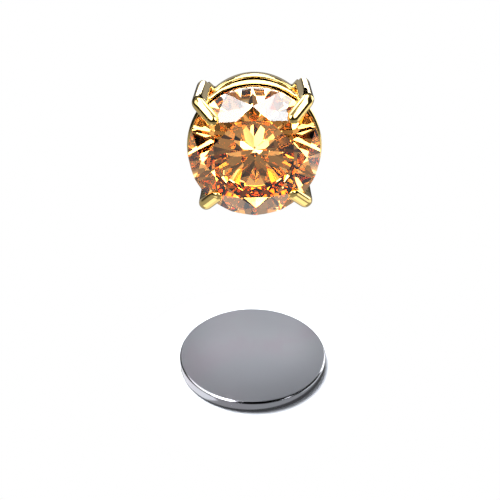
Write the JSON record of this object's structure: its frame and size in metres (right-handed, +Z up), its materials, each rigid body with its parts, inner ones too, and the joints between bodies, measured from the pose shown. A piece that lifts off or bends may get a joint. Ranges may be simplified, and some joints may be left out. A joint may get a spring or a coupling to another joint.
{
  "type": "magnetic stud earring",
  "caption": "Magnetic stud earring: a round brilliant in a four-claw gold basket with a magnet behind it, and the loose flat magnetic disc for the back of the lobe.",
  "frame": {"origin": "centre of the back disc's underside, on the floor", "axes": "+Z up from the floor the two pieces lie on, +Y from the disc towards the front, whose stone looks towards -Y"},
  "size_m": [0.0084, 0.0228, 0.0084],
  "materials": {
    "stone": "polished champagne to cognac cubic zirconia",
    "setting": "polished yellow gold plate",
    "front_magnet": "nickel plate",
    "back_disc": "satin nickel plate"
  },
  "bodies": {
    "root": {"stone": "stone", "setting": "setting", "front_magnet": "front_magnet", "back_disc": "back_disc"}
  },
  "joints": []
}
